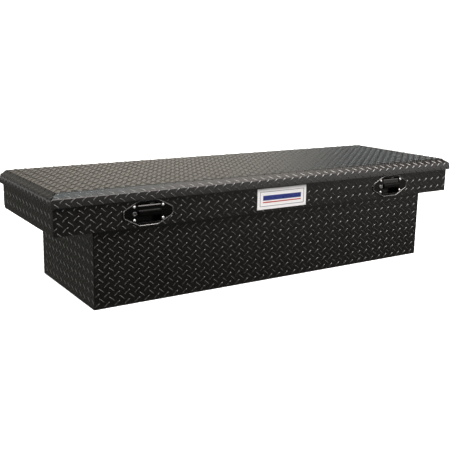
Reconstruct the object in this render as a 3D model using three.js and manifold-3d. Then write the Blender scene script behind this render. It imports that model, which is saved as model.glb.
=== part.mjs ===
// Crossover tool box for a pickup truck, in millimetres.
// X runs along the box, -Y is the front with the two latches, +Z is up, and z = 0 is the underside of the tub.
import * as THREE from 'three';
import { mergeVertices } from 'three/addons/utils/BufferGeometryUtils.js';
import Module from 'manifold-3d';

const wasm = await Module();
wasm.setup();

// driving dimensions
const SHEET = 2;
const GAP = 0.3;
const TUB = { halfLength: 736, front: -242, back: 248, top: 267 };
const SADDLE = { halfLength: 873, halfDepth: 260, bottom: 267, rim: 386, flange: 26, bend: 18 };
const LID = { halfLength: 884, halfDepth: 272, lipBottom: 360, crease: 388, top: 404, inset: 27 };
const HINGE = { y: 265.1, z: 379, knuckle: 4.5, bore: 2.2, pin: 1.7, halfLength: 850, knuckles: 17 };
const SEAL = { halfLength: 856, halfDepth: 244, width: 8, top: 401.6 };
const PLATE = { centre: 2.5, width: 222, bottom: 277, top: 354, thickness: 1.6 };

// gas strut: its foot turns on a stud above the wing floor, its eye follows a stud under the lid
const STRUT = {
  x: 826, foot: [236.51, 283.48], stud: [82.09, 378.57], closedLength: 184.13, restAngle: 147.504,
  tube: 9, tubeEnd: 162, rod: 4, footStud: 4, eyeStud: 3, eyeBore: 7.4, eye: 10.5,
};

// paddle latch; z values are heights, x values are counted from the latch's own centre
const LATCH = {
  centre: 546, z: 314.5, halfLength: 91.5, halfHeight: 43, flatHalf: 34, endHalf: 12.5,
  face: -263.6, back: -232, left: -38, right: 46, panHalf: 32, wall: 1.5,
  screwX: 52.5, screwZ: 22.5, lock: 6,
};
const PADDLE_PIN = [-254, 343];
const ROTOR = { y: -198, z: 334, radius: 30, bar: 352, barRadius: 4 };
const SEAR_PIN = [-172, 292];

const COLOURS = {
  coat: 0x1b1b1a, black: 0x101011, steel: 0x9a9c9e, zinc: 0xb9b8b0, chrome: 0xd6d8da, rubber: 0x151515, badge: 0xc9cbcc,
};

const box = new THREE.Group();
box.name = 'truck_tool_box';

// ---- solids -------------------------------------------------------------------------------------------------

function solid(geometry) {
  const bare = new THREE.BufferGeometry();
  bare.setAttribute('position', geometry.attributes.position);
  bare.setIndex(geometry.index);
  const merged = mergeVertices(bare, 1e-4);
  return new wasm.Manifold(new wasm.Mesh({
    numProp: 3,
    vertProperties: new Float32Array(merged.attributes.position.array),
    triVerts: new Uint32Array(merged.index.array),
  }));
}

const sorted = (a, b) => (a < b ? [a, b] : [b, a]);

function block(xs, ys, zs) {
  const [x0, x1] = sorted(...xs);
  const [y0, y1] = sorted(...ys);
  const [z0, z1] = sorted(...zs);
  const geometry = new THREE.BoxGeometry(x1 - x0, y1 - y0, z1 - z0);
  return solid(geometry.translate((x0 + x1) / 2, (y0 + y1) / 2, (z0 + z1) / 2));
}

// an outline pushed along one axis: outline points are [y, z] along X, [x, z] along Y and [x, y] along Z
function prism(axis, outline, from, to) {
  const [low, high] = sorted(from, to);
  const shape = new THREE.Shape(outline.map(([u, v]) => new THREE.Vector2(u, v)));
  const geometry = new THREE.ExtrudeGeometry(shape, { depth: high - low, bevelEnabled: false });
  const turn = new THREE.Matrix4();
  if (axis === 'x') {
    turn.makeBasis(new THREE.Vector3(0, 1, 0), new THREE.Vector3(0, 0, 1), new THREE.Vector3(1, 0, 0));
    turn.setPosition(low, 0, 0);
  } else if (axis === 'y') {
    turn.makeBasis(new THREE.Vector3(1, 0, 0), new THREE.Vector3(0, 0, 1), new THREE.Vector3(0, -1, 0));
    turn.setPosition(0, high, 0);
  } else {
    turn.setPosition(0, 0, low);
  }
  return solid(geometry.applyMatrix4(turn));
}

function circle(u, v, radius, sides = 20) {
  return Array.from({ length: sides }, (_, i) => {
    const angle = (2 * Math.PI * (i + 0.5)) / sides;
    return [u + radius * Math.cos(angle), v + radius * Math.sin(angle)];
  });
}

function arc(u, v, radius, fromDegrees, toDegrees, steps) {
  return Array.from({ length: steps + 1 }, (_, i) => {
    const angle = THREE.MathUtils.degToRad(fromDegrees + ((toDegrees - fromDegrees) * i) / steps);
    return [u + radius * Math.cos(angle), v + radius * Math.sin(angle)];
  });
}

const rod = (axis, u, v, radius, from, to, sides) => prism(axis, circle(u, v, radius, sides), from, to);
const join = (...solids) => wasm.Manifold.union(solids);
const cut = (body, ...tools) => body.subtract(join(...tools));

function add(name, body, colour, roughness = 0.5, metalness = 0.3) {
  const mesh = body.getMesh();
  const geometry = new THREE.BufferGeometry();
  geometry.setAttribute('position', new THREE.BufferAttribute(new Float32Array(mesh.vertProperties), 3));
  geometry.setIndex(new THREE.BufferAttribute(new Uint32Array(mesh.triVerts), 1));
  geometry.computeVertexNormals();
  const material = new THREE.MeshStandardMaterial({ color: colour, roughness, metalness });
  const node = new THREE.Mesh(geometry, material);
  node.name = name;
  box.add(node);
}

const SIDES = [['left', -1], ['right', 1]];

// ---- tub: one folded wrap and two end panels ----------------------------------------------------------------

const tubTop = TUB.top - GAP;
const wrapHalf = TUB.halfLength - SHEET - GAP;
add('tub_shell', prism('x', [
  [TUB.front, tubTop], [TUB.front, 3], [TUB.front + 3, 0], [TUB.back - 3, 0], [TUB.back, 3], [TUB.back, tubTop],
  [TUB.back - SHEET, tubTop], [TUB.back - SHEET, 4], [TUB.back - 4, SHEET],
  [TUB.front + 4, SHEET], [TUB.front + SHEET, 4], [TUB.front + SHEET, tubTop],
], -wrapHalf, wrapHalf), COLOURS.coat);

for (const [name, side] of SIDES) {
  const outer = side * TUB.halfLength;
  const inner = side * (TUB.halfLength - SHEET);
  const inset = SHEET + 2.3;
  const panel = prism('x', [
    [TUB.front, tubTop], [TUB.front, 3], [TUB.front + 3, 0], [TUB.back - 3, 0], [TUB.back, 3], [TUB.back, tubTop],
  ], inner, outer);
  const hem = prism('x', [
    [TUB.front + inset - 2, tubTop - 24], [TUB.front + inset - 2, inset + 2], [TUB.front + inset + 2, inset - 2],
    [TUB.back - inset - 2, inset - 2], [TUB.back - inset + 2, inset + 2], [TUB.back - inset + 2, tubTop - 24],
    [TUB.back - inset, tubTop - 24], [TUB.back - inset, inset + 3], [TUB.back - inset - 3, inset],
    [TUB.front + inset + 3, inset], [TUB.front + inset, inset + 3], [TUB.front + inset, tubTop - 24],
  ], side * (TUB.halfLength - 18), side * (TUB.halfLength - 1));
  add(`${name}_tub_end`, join(panel, hem), COLOURS.coat);
}

// ---- saddle body: two long rails and a tray-shaped wing at each end -------------------------------------------

const railHalf = SADDLE.halfLength - SHEET - GAP;
const flangeEdge = SADDLE.halfDepth - SADDLE.flange;
const floorEdge = 236;
const latchHoles = SIDES.flatMap(([, side]) => {
  const centre = side * LATCH.centre;
  const depth = [-SADDLE.halfDepth - 1, -SADDLE.halfDepth + SHEET + 1];
  const slack = LATCH.wall + 0.5;
  const holes = [
    block(
      [centre + LATCH.left - slack, centre + LATCH.right + slack], depth,
      [LATCH.z - LATCH.panHalf - slack, LATCH.z + LATCH.panHalf + slack],
    ),
    rod('y', centre - LATCH.screwX, LATCH.z, LATCH.lock + 0.5, ...depth),
  ];
  for (const across of [-1, 1]) {
    for (const up of [-1, 1]) {
      holes.push(rod('y', centre + across * LATCH.screwX, LATCH.z + up * LATCH.screwZ, 2.7, ...depth, 12));
    }
  }
  return holes;
});
const frontProfile = [
  [-SADDLE.halfDepth, SADDLE.bottom], [-floorEdge, SADDLE.bottom], [-floorEdge, SADDLE.bottom + SHEET],
  [-SADDLE.halfDepth + SHEET, SADDLE.bottom + SHEET], [-SADDLE.halfDepth + SHEET, SADDLE.rim - SHEET],
  [-flangeEdge, SADDLE.rim - SHEET], [-flangeEdge, SADDLE.rim], [-SADDLE.halfDepth, SADDLE.rim],
];
add('front_rail', cut(prism('x', frontProfile, -railHalf, railHalf), ...latchHoles), COLOURS.coat);

const bendCentre = [SADDLE.halfDepth - SADDLE.bend, SADDLE.bottom + SADDLE.bend];
add('rear_rail', prism('x', [
  [floorEdge, SADDLE.bottom], ...arc(...bendCentre, SADDLE.bend, -90, 0, 6), [SADDLE.halfDepth, SADDLE.rim],
  [flangeEdge, SADDLE.rim], [flangeEdge, SADDLE.rim - SHEET], [SADDLE.halfDepth - SHEET, SADDLE.rim - SHEET],
  ...arc(...bendCentre, SADDLE.bend - SHEET, 0, -90, 6), [floorEdge, SADDLE.bottom + SHEET],
], -railHalf, railHalf), COLOURS.coat);

for (const [name, side] of SIDES) {
  const wall = prism('x', [
    [-SADDLE.halfDepth, SADDLE.bottom], ...arc(...bendCentre, SADDLE.bend, -90, 0, 6),
    [SADDLE.halfDepth, SADDLE.rim], [-SADDLE.halfDepth, SADDLE.rim],
  ], side * (SADDLE.halfLength - SHEET), side * SADDLE.halfLength);
  const trayEdge = floorEdge - GAP;
  const inner = TUB.halfLength - SHEET - GAP - SHEET;
  const floor = block(
    [side * (TUB.halfLength + 0.5), side * (SADDLE.halfLength - 1)], [-trayEdge, trayEdge],
    [SADDLE.bottom, SADDLE.bottom + SHEET],
  );
  const overTub = block(
    [side * inner, side * (TUB.halfLength + 1)], [-trayEdge, trayEdge], [SADDLE.bottom + GAP, SADDLE.bottom + SHEET],
  );
  const turnDown = block([side * inner, side * (inner + SHEET)], [-trayEdge, trayEdge], [248, SADDLE.bottom + 1]);
  const rimEdge = flangeEdge - GAP;
  const rim = block(
    [side * (SADDLE.halfLength - SADDLE.flange), side * (SADDLE.halfLength - 1)], [-rimEdge, rimEdge],
    [SADDLE.rim - SHEET, SADDLE.rim],
  );
  add(`${name}_wing`, join(wall, floor, overTub, turnDown, rim), COLOURS.coat);
}

add('rim_seal', cut(
  block([-SEAL.halfLength, SEAL.halfLength], [-SEAL.halfDepth, SEAL.halfDepth], [SADDLE.rim + GAP, SEAL.top]),
  block(
    [-SEAL.halfLength + SEAL.width, SEAL.halfLength - SEAL.width],
    [-SEAL.halfDepth + SEAL.width, SEAL.halfDepth - SEAL.width], [SADDLE.rim - 2, SEAL.top + 2],
  ),
), COLOURS.rubber, 0.9, 0);

const plateBack = -SADDLE.halfDepth - GAP;
add('name_plate', block(
  [PLATE.centre - PLATE.width / 2, PLATE.centre + PLATE.width / 2], [plateBack - PLATE.thickness, plateBack],
  [PLATE.bottom, PLATE.top],
), COLOURS.badge, 0.35, 0.8);

// ---- piano hinge ----------------------------------------------------------------------------------------------

const pitch = (2 * HINGE.halfLength) / HINGE.knuckles;
const leafThickness = 1.8;
const leafReach = HINGE.knuckle + 0.7;

function leaf(first, inner, farEdge, away) {
  const parts = [block(
    [-HINGE.halfLength, HINGE.halfLength], [inner, inner + leafThickness], [HINGE.z + away * leafReach, farEdge],
  )];
  for (let i = first; i < HINGE.knuckles; i += 2) {
    const ends = [-HINGE.halfLength + i * pitch + 0.4, -HINGE.halfLength + (i + 1) * pitch - 0.4];
    parts.push(block(ends, [inner, inner + leafThickness], [HINGE.z, HINGE.z + away * (leafReach + 1)]));
    parts.push(rod('x', HINGE.y, HINGE.z, HINGE.knuckle, ...ends, 16));
  }
  const bore = rod('x', HINGE.y, HINGE.z, HINGE.bore, -HINGE.halfLength - 1, HINGE.halfLength + 1, 16);
  return cut(join(...parts), bore);
}

const bodyLeafInner = SADDLE.halfDepth + GAP;
const lidLeafInner = LID.halfDepth - SHEET - GAP - leafThickness;
add('hinge_leaf_body', leaf(0, bodyLeafInner, 344, -1), COLOURS.steel, 0.4, 0.8);
add('hinge_leaf_lid', leaf(1, lidLeafInner, 399, 1), COLOURS.steel, 0.4, 0.8);
add('hinge_pin', rod('x', HINGE.y, HINGE.z, HINGE.pin, -HINGE.halfLength - 3, HINGE.halfLength + 3, 12),
  COLOURS.steel, 0.4, 0.8);

// ---- lid --------------------------------------------------------------------------------------------------------

// a tray turned upside down: straight lips, then a bevel on the front and both ends, then the flat top
function lidBlank(inset, bottom, crease, top, flatInset, flatFront) {
  const x = LID.halfLength - inset;
  const y = LID.halfDepth - inset;
  const ring = (halfX, front, back, z) => [[-halfX, front, z], [halfX, front, z], [halfX, back, z], [-halfX, back, z]];
  const corners = [
    ...ring(x, -y, y, bottom), ...ring(x, -y, y, crease),
    ...ring(LID.halfLength - flatInset, flatFront, y, top),
  ];
  const faces = [0, 2, 1, 0, 3, 2, 8, 9, 10, 8, 10, 11];
  for (const base of [0, 4]) {
    for (let i = 0; i < 4; i += 1) {
      const next = (i + 1) % 4;
      faces.push(base + i, base + next, base + next + 4, base + i, base + next + 4, base + i + 4);
    }
  }
  const geometry = new THREE.BufferGeometry();
  geometry.setAttribute('position', new THREE.Float32BufferAttribute(corners.flat(), 3));
  geometry.setIndex(faces);
  return solid(geometry);
}

const slope = (LID.top - LID.crease) / LID.inset;
const sheetDrop = SHEET * Math.hypot(1, slope);
const innerCrease = LID.crease + SHEET * slope - sheetDrop;
const innerInset = LID.inset - (SHEET - sheetDrop) / -slope;
const lidOuter = lidBlank(0, LID.lipBottom, LID.crease, LID.top, LID.inset, -LID.halfDepth + LID.inset);
const lidInner = lidBlank(
  SHEET, LID.lipBottom - 5, innerCrease, LID.top - SHEET, innerInset, -LID.halfDepth + innerInset,
);
const hingeRelief = block(
  [-LID.halfLength + SHEET, LID.halfLength - SHEET], [SADDLE.halfDepth, LID.halfDepth + 1],
  [LID.lipBottom - 1, HINGE.z - HINGE.knuckle],
);
add('lid_skin', cut(lidOuter, lidInner, hingeRelief), COLOURS.coat);

const underLid = LID.top - SHEET - GAP;
for (const [name, y] of [['front_lid_stiffener', ROTOR.y], ['rear_lid_stiffener', 150]]) {
  const half = 26;
  const web = 14;
  const gauge = 1.6;
  const drop = 12.7;
  add(name, prism('x', [
    [y - half, underLid], [y - half, underLid - gauge], [y - web, underLid - gauge], [y - web, underLid - drop],
    [y + web, underLid - drop], [y + web, underLid - gauge], [y + half, underLid - gauge], [y + half, underLid],
    [y + web - gauge, underLid], [y + web - gauge, underLid - drop + gauge],
    [y - web + gauge, underLid - drop + gauge], [y - web + gauge, underLid],
  ], -790, 790), COLOURS.steel, 0.45, 0.8);
}

const strikerTop = underLid - 12.7 - GAP;
for (const [name, side] of SIDES) {
  const c = side * LATCH.centre;
  const plate = block([c - 24, c + 28], [ROTOR.y - 13, ROTOR.y + 13], [strikerTop - 2, strikerTop]);
  const legs = [-14, 13].map((at) => block(
    [c + at, c + at + 4], [ROTOR.y - 5, ROTOR.y + 5], [ROTOR.bar - 5, strikerTop - 1],
  ));
  const bar = rod('x', ROTOR.y, ROTOR.bar, ROTOR.barRadius, c - 12, c + 15, 16);
  add(`${name}_striker`, join(plate, ...legs, bar), COLOURS.zinc, 0.35, 0.8);
}

// ---- gas struts ---------------------------------------------------------------------------------------------------

const restRadians = THREE.MathUtils.degToRad(STRUT.restAngle);
const alongStrut = [Math.cos(restRadians), Math.sin(restRadians)];

// a turned profile [distance from the foot, radius] laid along the strut
function turned(side, profile, sides = 18) {
  const points = profile.map(([distance, radius]) => new THREE.Vector2(radius, distance));
  const geometry = new THREE.LatheGeometry(points, sides);
  const axis = new THREE.Vector3(0, ...alongStrut);
  geometry.applyQuaternion(new THREE.Quaternion().setFromUnitVectors(new THREE.Vector3(0, 1, 0), axis));
  return solid(geometry.translate(side * STRUT.x, ...STRUT.foot));
}

for (const [name, side] of SIDES) {
  const at = (offset) => side * (STRUT.x + offset);
  const [footY, footZ] = STRUT.foot;
  const floorTop = SADDLE.bottom + SHEET + GAP;
  add(`${name}_strut_foot_bracket`, join(
    block([at(-14), at(15)], [footY - 16, footY - 2], [floorTop, floorTop + 2.5]),
    prism('x', [
      [footY - 16, floorTop], [footY + 5, floorTop], [footY + 9, footZ - 4], [footY + 7, footZ + 9],
      [footY - 7, footZ + 9], [footY - 16, footZ - 4],
    ], at(12), at(15)),
    rod('x', footY, footZ, STRUT.footStud, at(-10), at(13), 16),
  ), COLOURS.zinc, 0.35, 0.8);

  const tube = turned(side, [[7, 0], [7, 6.5], [15, 6.5], [16, STRUT.tube], [STRUT.tubeEnd - 2, STRUT.tube],
    [STRUT.tubeEnd, STRUT.tube - 2], [STRUT.tubeEnd, 4.6], [STRUT.tubeEnd - 6, 4.6], [STRUT.tubeEnd - 6, 7.2],
    [24, 7.2], [24, 0]]);
  const footEye = rod('x', footY, footZ, 9, at(-7), at(7));
  add(`${name}_strut_cylinder`, cut(
    join(tube, footEye), rod('x', footY, footZ, STRUT.footStud + 0.6, at(-8), at(8), 16),
  ), COLOURS.black, 0.35, 0.4);

  const eyeAt = [footY + STRUT.closedLength * alongStrut[0], footZ + STRUT.closedLength * alongStrut[1]];
  const shaft = turned(side, [[46, 0], [46, 6.5], [54, 6.5], [54, STRUT.rod], [STRUT.closedLength - 9, STRUT.rod],
    [STRUT.closedLength - 9, 0]], 16);
  add(`${name}_strut_rod`, cut(
    join(shaft, rod('x', ...eyeAt, STRUT.eye, at(-4), at(4))), rod('x', ...eyeAt, STRUT.eyeBore, at(-5), at(5)),
  ), COLOURS.chrome, 0.15, 1);

  const [studY, studZ] = STRUT.stud;
  add(`${name}_strut_lid_bracket`, join(
    block([at(-14), at(13.5)], [studY - 15, studY + 15], [underLid - 2, underLid]),
    prism('x', [
      [studY - 15, underLid], [studY - 15, underLid - 10], [studY - 8, studZ - 7], [studY + 8, studZ - 7],
      [studY + 15, underLid - 10], [studY + 15, underLid],
    ], at(10.5), at(13.5)),
    rod('x', studY, studZ, STRUT.eyeStud, at(-7), at(11), 16),
    rod('x', studY, studZ, 8.5, at(-8.5), at(-6.5)),
  ), COLOURS.zinc, 0.35, 0.8);
}

// ---- latches ------------------------------------------------------------------------------------------------------

function rimOutline(c, shrink) {
  const length = LATCH.halfLength - shrink;
  const height = LATCH.halfHeight - shrink;
  const flat = LATCH.flatHalf;
  const end = LATCH.endHalf;
  return [
    [-length, -end], [-flat, -height], [flat, -height], [length, -end],
    [length, end], [flat, height], [-flat, height], [-length, end],
  ].map(([x, z]) => [c + x, LATCH.z + z]);
}

// a coiled torsion spring around the paddle's pin
class Coil extends THREE.Curve {
  constructor(start, step, turns, radius) {
    super();
    Object.assign(this, { start, step, turns, radius });
  }

  getPoint(t, target = new THREE.Vector3()) {
    const angle = 2 * Math.PI * this.turns * t;
    return target.set(
      this.start + this.step * this.turns * t,
      PADDLE_PIN[0] + this.radius * Math.cos(angle),
      PADDLE_PIN[1] + this.radius * Math.sin(angle),
    );
  }
}

for (const [name, side] of SIDES) {
  const c = side * LATCH.centre;
  const low = LATCH.z - LATCH.panHalf;
  const high = LATCH.z + LATCH.panHalf;
  const front = LATCH.face + SHEET;
  const lockX = c - LATCH.screwX;
  const through = [LATCH.face - 1, -SADDLE.halfDepth + 1];
  const screws = [];
  for (const up of [-1, 1]) {
    for (const across of [-1, 1]) {
      screws.push([c + across * LATCH.screwX, LATCH.z + up * LATCH.screwZ]);
    }
  }
  const rimHoles = [
    ...screws.map(([x, z]) => rod('y', x, z, 2.7, ...through, 12)), rod('y', lockX, LATCH.z, LATCH.lock + 0.4, ...through),
  ];
  const inside = block([c + LATCH.left, c + LATCH.right], [LATCH.face - 1, LATCH.back - LATCH.wall], [low, high]);
  const outside = block(
    [c + LATCH.left - LATCH.wall, c + LATCH.right + LATCH.wall], [LATCH.face + 1, LATCH.back],
    [low - LATCH.wall, high + LATCH.wall],
  );
  const armSlot = block([c - 11, c - 1], [LATCH.back - 3, LATCH.back + 1], [302, 345]);
  const pinHoles = rod('x', ...PADDLE_PIN, 2.4, c - 45, c + 53, 12);
  add(`${name}_latch_dish`, cut(
    join(prism('y', rimOutline(c, 0), LATCH.face, front), outside), inside, armSlot, pinHoles, ...rimHoles,
  ), COLOURS.black, 0.3, 0.4);

  const slack = LATCH.wall + 0.4;
  add(`${name}_latch_gasket`, cut(
    prism('y', rimOutline(c, 1.5), front + GAP, -SADDLE.halfDepth - GAP),
    block([c + LATCH.left - slack, c + LATCH.right + slack], through, [low - slack, high + slack]), ...rimHoles,
  ), COLOURS.rubber, 0.9, 0);

  // the paddle hangs from its pin, its lower edge thickened into a grip, an arm behind it reaching the sear
  const [pinY, pinZ] = PADDLE_PIN;
  const paddleEnds = [c + LATCH.left + 1.2, c + LATCH.right - 1.2];
  const plate = prism('x', [
    [pinY - 3.5, 339], [pinY - 6.5, 341], [pinY - 8, 338], [pinY - 8.5, 325], [pinY - 14, 322.5],
    [pinY - 15, 319], [pinY - 15, 309], [pinY - 13, 305], [pinY - 9, 304.5], [pinY - 7, 308],
    [pinY - 4.5, 322], [pinY - 2, 332],
  ], ...paddleEnds);
  const boss = prism('x', [...arc(pinY, pinZ, 3.1, -20, 170, 8), [pinY - 6.5, 341], [pinY - 4, 336], [pinY, 336]],
    ...paddleEnds);
  const arm = prism('x', [
    [pinY - 3, 336], [pinY, 334.5], [-219, 334.5], [-218, 336], [-218, 339], [-219, 340.5], [pinY, 340.5],
  ], c - 8, c - 4);
  const springRoom = rod('x', pinY, pinZ, 5, c + 8, c + 24);
  add(`${name}_latch_paddle`, cut(
    join(plate, boss, arm), springRoom, rod('x', pinY, pinZ, 2.4, c - 45, c + 53, 12),
  ), COLOURS.black, 0.25, 0.3);
  add(`${name}_paddle_pin`, rod('x', pinY, pinZ, 1.8, c + LATCH.left - 3, c + LATCH.right + 3, 12),
    COLOURS.zinc, 0.35, 0.8);

  const wire = new THREE.Shape(circle(0, 0, 0.45, 6).map(([u, v]) => new THREE.Vector2(u, v)));
  const coil = new THREE.ExtrudeGeometry(wire, {
    steps: 60, bevelEnabled: false, extrudePath: new Coil(c + 9.5, 2.4, 5, 2.75),
  });
  add(`${name}_paddle_spring`, solid(coil), COLOURS.steel, 0.3, 0.9);

  // bright head screws in the rim
  screws.forEach(([x, z], index) => {
    const head = prism('y', circle(x, z, 5.4, 16), LATCH.face - GAP - 1.2, LATCH.face - GAP);
    const crown = prism('y', circle(x, z, 4.2, 16), LATCH.face - GAP - 2.2, LATCH.face - GAP);
    const shank = prism('y', circle(x, z, 2.2, 10), LATCH.face - 1, -248);
    add(`${name}_latch_screw_${index + 1}`, join(head, crown, shank), COLOURS.chrome, 0.2, 1);
  });

  // key lock: barrel with its slot, and the cam on its tail
  const barrel = join(
    rod('y', lockX, LATCH.z, LATCH.lock, -262, -222, 24), rod('y', lockX, LATCH.z, LATCH.lock + 1.6, -266.4, -263.9, 24),
    rod('y', lockX, LATCH.z, LATCH.lock - 1, -265, -261, 24), rod('y', lockX, LATCH.z, 3.4, -223, -214, 12),
  );
  add(`${name}_lock_cylinder`, cut(
    barrel, block([lockX - 0.8, lockX + 0.8], [-267, -260], [LATCH.z - 4, LATCH.z + 4]),
  ), COLOURS.chrome, 0.25, 1);
  add(`${name}_lock_cam`, cut(
    prism('y', [
      [lockX - 6, LATCH.z + 7], [lockX - 7, LATCH.z], [lockX - 5, LATCH.z - 24], [lockX + 5, LATCH.z - 24],
      [lockX + 7, LATCH.z], [lockX + 6, LATCH.z + 7],
    ], -221.6, -218.6),
    rod('y', lockX, LATCH.z, 3.8, -223, -217, 12),
  ), COLOURS.zinc, 0.35, 0.8);

  // slam latch behind the dish: frame plate, rotor for the striker bar, sear under the rotor
  const framePlate = prism('x', [
    [-231.7, 284], [-178, 282], [-162, 286], [-162, 300], [-176, 340], [-184, 368], [-191, 372],
    [-191, 344], [-205, 344], [-205, 372], [-231.7, 372],
  ], c + 6, c + 9);
  const frameFoot = block([c + 6, c + 34], [-231.7, -229.7], [284, 346]);
  add(`${name}_latch_frame`, cut(
    join(framePlate, frameFoot), rod('x', ROTOR.y, ROTOR.z, 4.2, c + 5, c + 10, 16),
    rod('x', ...SEAR_PIN, 3.4, c + 5, c + 10, 16),
  ), COLOURS.zinc, 0.35, 0.8);

  const slotRadius = ROTOR.bar - ROTOR.z;
  const slotHalf = ROTOR.barRadius + 0.9;
  const track = [
    ...arc(ROTOR.y, ROTOR.z, slotRadius + slotHalf, 107, 22, 10),
    ...arc(ROTOR.y, ROTOR.z, slotRadius - slotHalf, 22, 107, 8),
  ];
  const mouth = [
    [-slotHalf - 0.4, slotRadius - 2], [slotHalf + 0.4, slotRadius - 2], [slotHalf + 1.5, ROTOR.radius - 8],
    [slotHalf + 5, ROTOR.radius + 2], [-slotHalf - 5, ROTOR.radius + 2], [-slotHalf - 1.5, ROTOR.radius - 8],
  ].map(([y, z]) => [ROTOR.y + y, ROTOR.z + z]);
  add(`${name}_latch_rotor`, cut(
    rod('x', ROTOR.y, ROTOR.z, ROTOR.radius, c + 0.5, c + 5.5, 40), prism('x', track, c, c + 6),
    prism('x', mouth, c, c + 6), rod('x', ROTOR.y, ROTOR.z, 4.4, c, c + 6, 16),
  ), COLOURS.zinc, 0.35, 0.8);
  add(`${name}_rotor_pivot`, join(
    rod('x', ROTOR.y, ROTOR.z, 3.8, c, c + 11, 16), rod('x', ROTOR.y, ROTOR.z, 7, c - 1.6, c + 0.1, 16),
  ), COLOURS.steel, 0.35, 0.8);

  const [searY, searZ] = SEAR_PIN;
  const searArm = prism('x', [
    [searY - 2, searZ + 6.5], [-188, 303.2], [-226, 303.2], [-227, 300], [-226, 297], [searY - 2, searZ - 6.5],
  ], c - 9, c + 5.2);
  const searTail = prism('x', [[-226, 300], [-227, 326], [-223, 333], [-219.5, 326], [-219, 300]], c - 9, c - 3);
  add(`${name}_latch_sear`, cut(
    join(searArm, searTail, rod('x', searY, searZ, 7, c - 9, c + 5.2, 16)), rod('x', searY, searZ, 3.6, c - 10, c + 6, 16),
  ), COLOURS.zinc, 0.35, 0.8);
  add(`${name}_sear_pivot`, join(
    rod('x', searY, searZ, 3, c - 10, c + 11, 12), rod('x', searY, searZ, 6, c - 11.5, c - 9.4, 16),
  ), COLOURS.steel, 0.35, 0.8);
}

export default box;
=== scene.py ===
import math

import bmesh
import bpy
from mathutils import Matrix, Vector


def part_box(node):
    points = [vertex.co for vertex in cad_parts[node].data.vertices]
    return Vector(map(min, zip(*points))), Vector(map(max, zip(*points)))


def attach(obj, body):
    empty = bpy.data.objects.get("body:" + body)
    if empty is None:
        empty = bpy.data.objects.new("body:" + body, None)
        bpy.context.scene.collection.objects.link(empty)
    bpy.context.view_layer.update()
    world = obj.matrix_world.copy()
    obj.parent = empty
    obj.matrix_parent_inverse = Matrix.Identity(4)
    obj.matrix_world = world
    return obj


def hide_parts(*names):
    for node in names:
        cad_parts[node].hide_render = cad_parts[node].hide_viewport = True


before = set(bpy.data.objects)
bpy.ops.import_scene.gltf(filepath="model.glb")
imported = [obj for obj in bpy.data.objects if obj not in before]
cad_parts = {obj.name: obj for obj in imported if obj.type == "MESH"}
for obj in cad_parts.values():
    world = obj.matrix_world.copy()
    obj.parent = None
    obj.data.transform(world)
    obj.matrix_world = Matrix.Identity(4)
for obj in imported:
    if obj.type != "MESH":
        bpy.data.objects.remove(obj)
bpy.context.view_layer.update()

MM = 0.001
SIDES = ("left", "right")

# camera, fitted to the box's corners
CAMERA_PLACE = Vector((-1.6267, -2.4084, 0.8351))
CAMERA_YAW = 32.0
CAMERA_PITCH = 12.5
CAMERA_ROLL = 0.8
CAMERA_LENS = 59.45
CAMERA_SHIFT = (0.0208, -0.0193)

# tread pattern: lens-shaped bars, one slant on the lattice and the other slant at the cell centres
TREAD_PITCH = (36.8 * MM, 33.4 * MM)
BAR_LENGTH = 27.0 * MM
BAR_WIDTH = 6.0 * MM
BAR_HEIGHT = 1.2 * MM
BAR_SINK = 0.3 * MM
BAR_SLANT = 40.0

# bars stop this short of a sheet's edge, and of the saddle above the tub
EDGE = 1.5 * MM
TUB_MARGIN = 12 * MM

# lid folds: the lip leans in by a few degrees, then the crease, the bevel and the fold onto the flat top
LID_INSET = 27 * MM
LID_LEAN = 3.4 * MM
LID_CREASE = 388 * MM
LID_LIP = 360 * MM
FRONT_CREASE_RADIUS = 6 * MM
END_CREASE_RADIUS = 19 * MM
TOP_RADIUS = 9 * MM
CORNER_RADIUS = 3 * MM

# sheet thickness, the rear rail's wide bend, the hinge, and how far the lid's end sheets reach onto its top
SHEET = 2 * MM
BEND = 18 * MM
HINGE_HEIGHT = 379 * MM
HINGE_RADIUS = 4.5 * MM
END_SHEET_REACH = 7 * MM

# where the tread lattice starts: across and up on the upright panels, from the top fold on the lid's front
# sheet, and from the far edge on the lid's end sheets
RAIL_PHASE = (-704.5 * MM, 336.8 * MM)
TUB_PHASE = (-709.4 * MM, 230.5 * MM)
TUB_END_PHASE = (11 * MM, 225 * MM)
WING_PHASE = (9 * MM, 330 * MM)
LID_PHASE = (-16 * MM, 16 * MM)
LID_END_PHASE = (12 * MM, -9 * MM)

# where bars are left out: the tub's bottom bend, under the hinge leaf, and behind the fittings
TUB_FLOOR_BEND = 4 * MM
REAR_BARS_TOP = 343 * MM
DISH_COVER = (88 * MM, 40 * MM)
DISH_CORNER_SLOPE = 0.53
DISH_CORNER_REACH = 58 * MM
PLATE_CLEAR = (4 * MM, 3 * MM)

# name plate: distances in from its edges and up from its bottom, and (radius, height) of a rivet head
PLATE_LINE_INSET = 11 * MM
PLATE_LINE_WIDTH = 1.8 * MM
PLATE_LINE_RISE = 0.35 * MM
STRIPE_INSET = 12 * MM
STRIPE_RISE = 0.3 * MM
BLUE_STRIPE = (33 * MM, 51 * MM)
RED_STRIPE = (24 * MM, 28 * MM)
PLATE_RIVET_INSET = 6 * MM
PLATE_RIVET = (2.6 * MM, 1.4 * MM)
PLATE_RIVET_SINK = 0.2 * MM

# hinge rivets and screw heads: (radius, height) of a head
HINGE_RIVETS = 17
HINGE_RIVET_START = 50 * MM
HINGE_RIVET_PITCH = 100 * MM
HINGE_RIVET = (4 * MM, 1.6 * MM)
HINGE_RIVET_BASE = 1.7 * MM
HINGE_RIVET_UP = 12 * MM
SCREW_HEAD_HEIGHT = 2.6 * MM
SCREW_HEAD_BASE = 2.3 * MM
SCREW_RECESS = 2.1 * MM

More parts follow.
